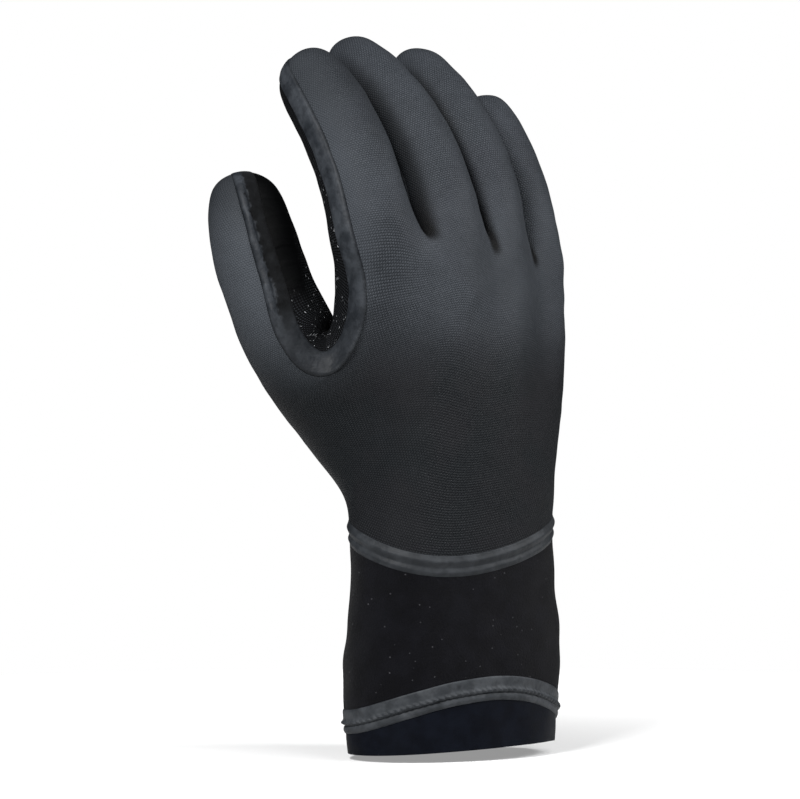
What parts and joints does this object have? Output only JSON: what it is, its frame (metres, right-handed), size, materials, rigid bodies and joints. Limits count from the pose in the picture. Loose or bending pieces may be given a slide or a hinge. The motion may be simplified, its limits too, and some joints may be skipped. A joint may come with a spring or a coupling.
{
  "type": "diving glove",
  "caption": "Right-hand five-finger neoprene diving glove in worn form, hollow and open at the cuff, with raised rubber bands over its seams.",
  "frame": {"origin": "centre of the wrist opening, at the lowest point of the hem's rim", "axes": "+Z from the wrist opening to the fingertips, -Y out of the back of the hand, +Y out of the palm, -X to the thumb, +X to the little finger"},
  "size_m": [0.1407, 0.0813, 0.2588],
  "materials": {
    "mesh_skin": "charcoal neoprene with a fine embossed mesh",
    "grip_knit": "black knit with glossy grip dots",
    "liquid_rubber": "satin grey seam rubber",
    "wrist_rubber": "satin grey rubber with two ridges",
    "plush": "matte black plush neoprene",
    "stitched_rubber": "dark grey rubber with a stitched ridge",
    "smooth_skin": "near-black smooth-skin neoprene"
  },
  "bodies": {
    "root": {"back_panel": "mesh_skin", "palm_panel": "grip_knit", "edge_seam": "liquid_rubber", "wrist_seam": "wrist_rubber", "cuff": "plush", "cuff_seam": "stitched_rubber", "cuff_hem": "smooth_skin"}
  },
  "joints": []
}
